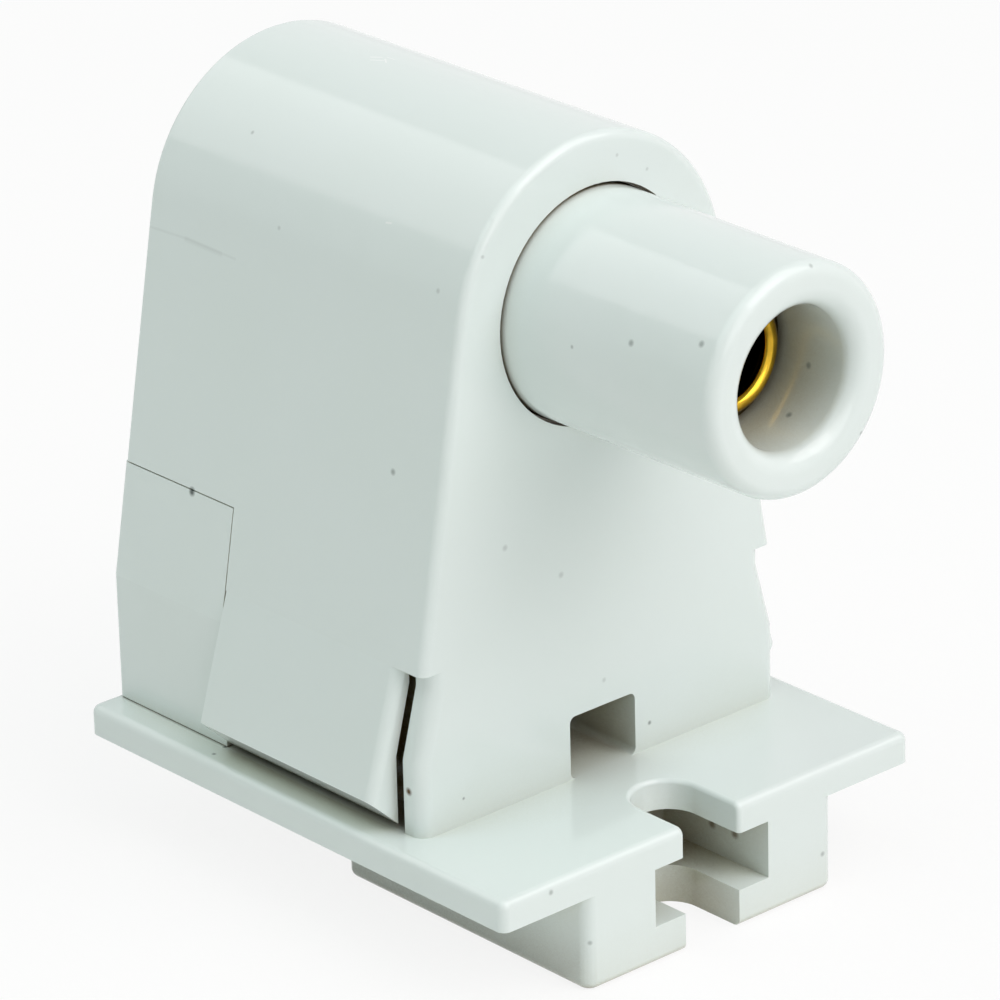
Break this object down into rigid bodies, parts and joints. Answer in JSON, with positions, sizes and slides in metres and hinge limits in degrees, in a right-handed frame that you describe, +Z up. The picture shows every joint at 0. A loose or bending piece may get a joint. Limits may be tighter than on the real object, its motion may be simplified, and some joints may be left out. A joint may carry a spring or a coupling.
{
  "type": "fluorescent tube lamp holder",
  "caption": "Upright white moulded holder for a single-pin fluorescent tube, with a sprung nose that slides in, a recessed eyelet contact, flared snap tabs and a flanged foot with a screw slot.",
  "frame": {"origin": "under the middle of the whole length, at the underside of the foot, on the plane of symmetry", "axes": "+X out of the nose along the lamp's axis, +Z up from the foot"},
  "size_m": [0.0462, 0.0332, 0.0485],
  "materials": {
    "white_urea": "compression moulded urea, semi-gloss",
    "contact_brass": "drawn eyelet, lightly tarnished",
    "spring_steel": "drawn spring wire",
    "terminal_brass": "stamped strip",
    "clip_bronze": "rolled phosphor bronze",
    "rivet_brass": "turned and upset"
  },
  "bodies": {
    "holder": {"housing": "white_urea", "rear_cover": "white_urea", "plunger_spring": "spring_steel", "terminal": "terminal_brass", "wire_clip": "clip_bronze", "terminal_rivet": "rivet_brass"},
    "nose": {"nose": "white_urea"},
    "contact": {"contact": "contact_brass"}
  },
  "joints": [
    {"name": "nose_slide", "type": "slide", "parent": "holder", "child": "nose", "axis": [-1, 0, 0], "range_m": [0, 0.016], "stiffness_N_per_m": 250, "springref_m": -0.012, "deforming": ["plunger_spring"]},
    {"name": "contact_slide", "type": "slide", "parent": "nose", "child": "contact", "axis": [-1, 0, 0], "range_m": [0, 0.011], "stiffness_N_per_m": 250, "springref_m": -0.012, "deforming": ["plunger_spring"]}
  ]
}
